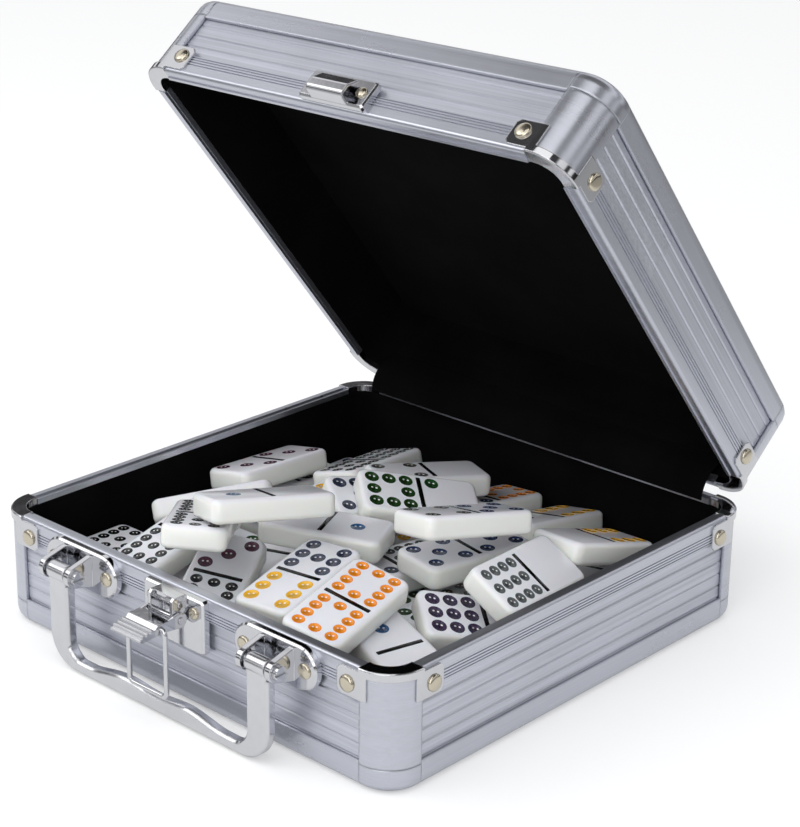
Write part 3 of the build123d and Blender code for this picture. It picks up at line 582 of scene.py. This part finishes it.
def add_tile(builder, pose, near, far):
    """One domino with the pip counts of its near and far end on its upper face."""
    builder.rings(TILE_RINGS, pose, materials["resin"])
    top = TILE_HALF[2]
    for side, count in ((-1, near), (1, far)):
        spots, radius = pip_spots(count)
        for along, across in spots:
            spot = pose @ Matrix.Translation((side * HALF_CENTRE + along, across, top))
            builder.pip(radius, spot, pip_materials[count])
    bar = pose @ Matrix.Translation((0, 0, top))
    outline = [rounded_ring(*DIVIDER_HALF, DIVIDER_CORNER, z, 2) for z in DIVIDER_SPAN]
    builder.rings(outline, bar, groove_black)


def islands(mesh):
    """Groups of vertex numbers joined by edges, welded by place, in the mesh's own order."""
    places = {}
    parent = list(range(len(mesh.vertices)))

    def root(i):
        while parent[i] != i:
            parent[i] = parent[parent[i]]
            i = parent[i]
        return i

    for v in mesh.vertices:
        key = tuple(round(c, 6) for c in v.co)
        if key in places:
            parent[root(v.index)] = root(places[key])
        else:
            places[key] = v.index
    for e in mesh.edges:
        parent[root(e.vertices[0])] = root(e.vertices[1])
    groups = {}
    for v in mesh.vertices:
        groups.setdefault(root(v.index), []).append(v.index)
    return sorted(groups.values(), key=min)


def tile_pose(mesh, group):
    """Centre and axes of a domino from its CAD solid: the largest faces give its upper side."""
    member = set(group)
    sides = []
    for face in mesh.polygons:
        if face.vertices[0] not in member:
            continue
        for side in sides:
            if side[0].dot(face.normal) > 0.999:
                side[1] += face.area
                break
        else:
            sides.append([face.normal.copy(), face.area])
    sides.sort(key=lambda side: -side[1])
    up = max((s[0] for s in sides[:2]), key=lambda n: n.z)
    across = next(s[0] for s in sides if abs(s[0].dot(up)) < 0.1)
    along = across.cross(up)
    if along.dot(FAR_WAY) < 0:
        along = -along
    across = up.cross(along)
    spots = np.array([mesh.vertices[i].co for i in group])
    axes = np.array([along, across, up])
    local = spots @ axes.T
    middle = (local.min(0) + local.max(0)) / 2
    centre = Vector(middle @ axes)
    pose = Matrix((along, across, up)).transposed().to_4x4()
    pose.translation = centre
    return pose


# Pip counts of the loose dominoes in the order in which the heap lists them: near end, far end
SHOWN_FACES = {
    "domino_heap_rear": (
        (5, 10),
        (0, 4),
        (11, 12),
        (4, 0),
        (7, 0),
        (5, 5),
        (8, 2),
        (1, 6),
        (0, 11),
        (0, 6),
        (3, 3),
    ),
    "domino_heap_front": (
        (8, 8),
        (0, 0),
        (3, 2),
        (7, 11),
        (11, 3),
        (11, 0),
        (1, 1),
        (3, 1),
        (0, 2),
        (6, 7),
        (9, 3),
        (1, 0),
        (10, 10),
        (11, 11),
        (12, 0),
        (4, 5),
        (1, 0),
    ),
}


def spare_faces():
    """Pairs of a double-twelve set in a fixed mixed order, for the dominoes that hardly show."""
    shown = {tuple(sorted(pair)) for pairs in SHOWN_FACES.values() for pair in pairs}
    pairs = [(a, b) for a in range(13) for b in range(a, 13) if (a, b) not in shown]
    return [pairs[(i * SPARE_STEP) % len(pairs)] for i in range(len(pairs))]


spares = iter(spare_faces())
for node_name in sorted(n for n in nodes if n.startswith("domino")):
    mesh = nodes[node_name].data
    builder = Builder()
    groups = islands(mesh)
    faces = SHOWN_FACES.get(node_name, [])
    for index, group in enumerate(groups):
        near, far = faces[index] if index < len(faces) else next(spares)
        add_tile(builder, tile_pose(mesh, group), near, far)
    heap = builder.finish(node_name.replace("domino_", "dominoes_"))
    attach(heap, "case_base")
    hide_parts(node_name)


# Rivets and the latch bail

def outline_of(mesh, group):
    """Middle of the seat, outward axis, radius and height of a rivet's CAD solid."""
    member = set(group)
    flats = [f for f in mesh.polygons if f.vertices[0] in member]
    totals = {}
    for face in flats:
        key = tuple(round(c, 2) for c in face.normal)
        totals.setdefault(key, [0.0, Vector()])
        totals[key][0] += face.area
        totals[key][1] += face.normal * face.area
    seat = max(totals.values(), key=lambda item: item[0])[1].normalized()
    axis = -seat
    spots = [mesh.vertices[i].co for i in group]
    heights = [p.dot(axis) for p in spots]
    low, high = min(heights), max(heights)
    rim = [p for p, h in zip(spots, heights) if h - low < SEAT_DEPTH]
    middle = sum(rim, Vector()) / len(rim)
    return middle, axis, max((p - middle).length for p in rim), high - low


def rivet(builder, middle, axis, radius, height):
    """Pressed head: steep rim, rounded shoulder and an almost flat crown."""
    place = Matrix.Translation(middle) @ axis.to_track_quat("Z", "Y").to_matrix().to_4x4()
    turns = [2 * math.pi * k / RIVET_SIDES for k in range(RIVET_SIDES)]
    rings = []
    for reach, rise in RIVET_PROFILE:
        out = radius * reach
        rings.append([(out * math.cos(t), out * math.sin(t), height * rise) for t in turns])
    builder.rings(rings, place, materials["nickel"])


def rebuild_rivets(node_name, body):
    mesh = nodes[node_name].data
    builder = Builder()
    for group in islands(mesh):
        rivet(builder, *outline_of(mesh, group))
    heads = builder.finish(node_name + "_smooth")
    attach(heads, body)
    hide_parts(node_name)


for node_name in [n for n in nodes if "rivets" in n]:
    on_lid = "lid_" in node_name
    rebuild_rivets(node_name, "lid" if on_lid else "case_base")


def bail_route(half, y, low_z, high_z, wire):
    """Middle line of the bail: down one side, across the foot and up the other, with round corners."""
    bend = BAIL_BEND_IN_WIRES * wire
    step = 90 / BAIL_BEND_STEPS
    end = half * BAIL_END_SHARE
    centres = [Vector((-end, y, high_z))]
    for sx, sz, start in ((-1, 1, 90), (-1, -1, 180), (1, -1, 270), (1, 1, 0)):
        x = sx * (half - bend)
        z = high_z - bend if sz > 0 else low_z + bend
        for k in range(BAIL_BEND_STEPS + 1):
            turn = math.radians(start + step * k)
            centres.append(Vector((x + bend * math.cos(turn), y, z + bend * math.sin(turn))))
    centres.append(Vector((end, y, high_z)))
    return centres


def rebuild_bail():
    """Round wire on the route of the CAD bail, its two ends turned in to the lever."""
    low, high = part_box("latch_bail")
    wire = (high.y - low.y) / 2
    y = (high.y + low.y) / 2
    centres = bail_route(high.x - wire, y, low.z + wire, high.z - wire, wire)
    turns = [2 * math.pi * i / BAIL_SIDES for i in range(BAIL_SIDES)]
    side = Vector((0, 1, 0))
    rings = []
    for k, centre in enumerate(centres):
        ahead = centres[min(k + 1, len(centres) - 1)]
        other = (ahead - centres[max(k - 1, 0)]).normalized().cross(side)
        rings.append([centre + wire * (side * math.cos(t) + other * math.sin(t)) for t in turns])
    builder = Builder()
    builder.rings(rings, Matrix.Identity(4), materials["chrome"])
    loop = builder.finish("latch_bail_wire")
    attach(loop, "latch_bail")
    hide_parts("latch_bail")


rebuild_bail()


# Studio

def camera():
    azimuth = math.radians(CAMERA_AZIMUTH)
    elevation = math.radians(CAMERA_ELEVATION)
    roll = math.radians(CAMERA_ROLL)
    level = math.cos(elevation)
    back = Vector((math.sin(azimuth) * level, -math.cos(azimuth) * level, math.sin(elevation)))
    right = (-back).cross(Vector((0, 0, 1))).normalized()
    up = right.cross(-back)
    turned_right = right * math.cos(roll) + up * math.sin(roll)
    turned_up = up * math.cos(roll) - right * math.sin(roll)
    made = bpy.data.cameras.new("photo_camera")
    made.sensor_fit = "HORIZONTAL"
    made.sensor_width = SENSOR_WIDTH
    made.lens = FOCAL_PIXELS * SENSOR_WIDTH / PHOTO_WIDTH
    made.shift_x = (PHOTO_WIDTH / 2 - AXIS_PIXEL[0]) / PHOTO_WIDTH
    made.shift_y = (AXIS_PIXEL[1] - PHOTO_HEIGHT / 2) / PHOTO_WIDTH
    made.clip_end = 20
    held = bpy.data.objects.new("photo_camera", made)
    held.matrix_world = Matrix((turned_right, turned_up, back)).transposed().to_4x4()
    held.location = CAMERA_TARGET + back * CAMERA_DISTANCE
    bpy.context.scene.collection.objects.link(held)
    bpy.context.scene.camera = held


def area_light(name, place, size, power):
    made = bpy.data.lights.new(name, "AREA")
    made.shape = "RECTANGLE"
    made.size, made.size_y = size
    made.energy = power
    held = bpy.data.objects.new(name, made)
    held.location = place
    held.rotation_euler = (LAMP_AIM - Vector(place)).to_track_quat("-Z", "Y").to_euler()
    bpy.context.scene.collection.objects.link(held)


def floor():
    """Pale floor that shows white to the camera and keeps a soft shadow."""
    mesh = bpy.data.meshes.new("studio_floor")
    corners = [(FLOOR_HALF * x, FLOOR_HALF * y, 0) for x, y in ((-1, -1), (1, -1), (1, 1), (-1, 1))]
    mesh.from_pydata(corners, [], [(0, 1, 2, 3)])
    made = bpy.data.objects.new("studio_floor", mesh)
    bpy.context.scene.collection.objects.link(made)
    s = Shader("studio_floor")
    s.tree.nodes.remove(s.surface)
    matt = s.node("ShaderNodeBsdfDiffuse")
    glow = s.node("ShaderNodeEmission")
    rays = s.node("ShaderNodeLightPath")
    away = s.node("ShaderNodeVectorMath", operation="LENGTH")
    s.link(s.place(), away.inputs[0])
    far = s.between(away.outputs["Value"], 0.0, FLOOR_DIM_SHARE, *FLOOR_DIM_SPAN)
    dimmed = s.math("MULTIPLY", far, rays.outputs["Is Glossy Ray"])
    lit = s.math("MULTIPLY", s.math("SUBTRACT", 1.0, dimmed), FLOOR_GREY)
    s.link(lit, matt.inputs["Color"])
    seen = s.math("MULTIPLY", rays.outputs["Is Camera Ray"], FLOOR_GLOW_SEEN)
    mirrored = s.math("MULTIPLY", rays.outputs["Is Glossy Ray"], FLOOR_GLOW_MIRRORED)
    s.link(s.math("ADD", seen, mirrored), glow.inputs["Strength"])
    both = s.node("ShaderNodeAddShader")
    s.link(matt.outputs[0], both.inputs[0])
    s.link(glow.outputs[0], both.inputs[1])
    s.link(both.outputs[0], s.out.inputs["Surface"])
    mesh.materials.append(s.material)


def tent_ramp(tree):
    """Colour ramp that holds the bands of the tent."""
    made = tree.nodes.new("ShaderNodeValToRGB")
    stops = made.color_ramp.elements
    stops[0].position = TENT_BANDS[0][0]
    stops[1].position = TENT_BANDS[-1][0]
    for height, level in TENT_BANDS[1:-1]:
        stops.new(height)
    for element, (height, level) in zip(stops, TENT_BANDS):
        element.color = (level, level, level * BLUE_SHARE, 1)
    return made


def choose(tree, ray, otherwise, chosen):
    """Shader that shows the chosen background to one kind of ray only."""
    made = tree.nodes.new("ShaderNodeMixShader")
    tree.links.new(ray, made.inputs[0])
    tree.links.new(otherwise, made.inputs[1])
    tree.links.new(chosen, made.inputs[2])
    return made.outputs[0]


def world():
    """White for the camera, a striped tent for mirror rays and an even glow for the rest."""
    made = bpy.data.worlds.new("studio")
    made.use_nodes = True
    tree = made.node_tree
    tree.nodes.clear()

    def background(colour, strength):
        node = tree.nodes.new("ShaderNodeBackground")
        node.inputs["Color"].default_value = (*colour, 1)
        node.inputs["Strength"].default_value = strength
        return node

    split = tree.nodes.new("ShaderNodeSeparateXYZ")
    tree.links.new(tree.nodes.new("ShaderNodeTexCoord").outputs["Generated"], split.inputs[0])
    bands = tent_ramp(tree)
    tree.links.new(split.outputs[2], bands.inputs["Fac"])
    tent = background((1, 1, 1), 1.0)
    tree.links.new(bands.outputs["Color"], tent.inputs["Color"])
    even = background((0.98, 0.99, 1.0), TENT_GLOW)
    plain = background((1, 1, 1), 1.0)
    rays = tree.nodes.new("ShaderNodeLightPath").outputs
    mirrored = choose(tree, rays["Is Glossy Ray"], even.outputs[0], tent.outputs[0])
    seen = choose(tree, rays["Is Camera Ray"], mirrored, plain.outputs[0])
    out = tree.nodes.new("ShaderNodeOutputWorld")
    tree.links.new(seen, out.inputs["Surface"])
    bpy.context.scene.world = made


camera()
floor()
world()
for lamp in LAMPS:
    area_light(*lamp)
bpy.context.scene.view_settings.view_transform = "Standard"
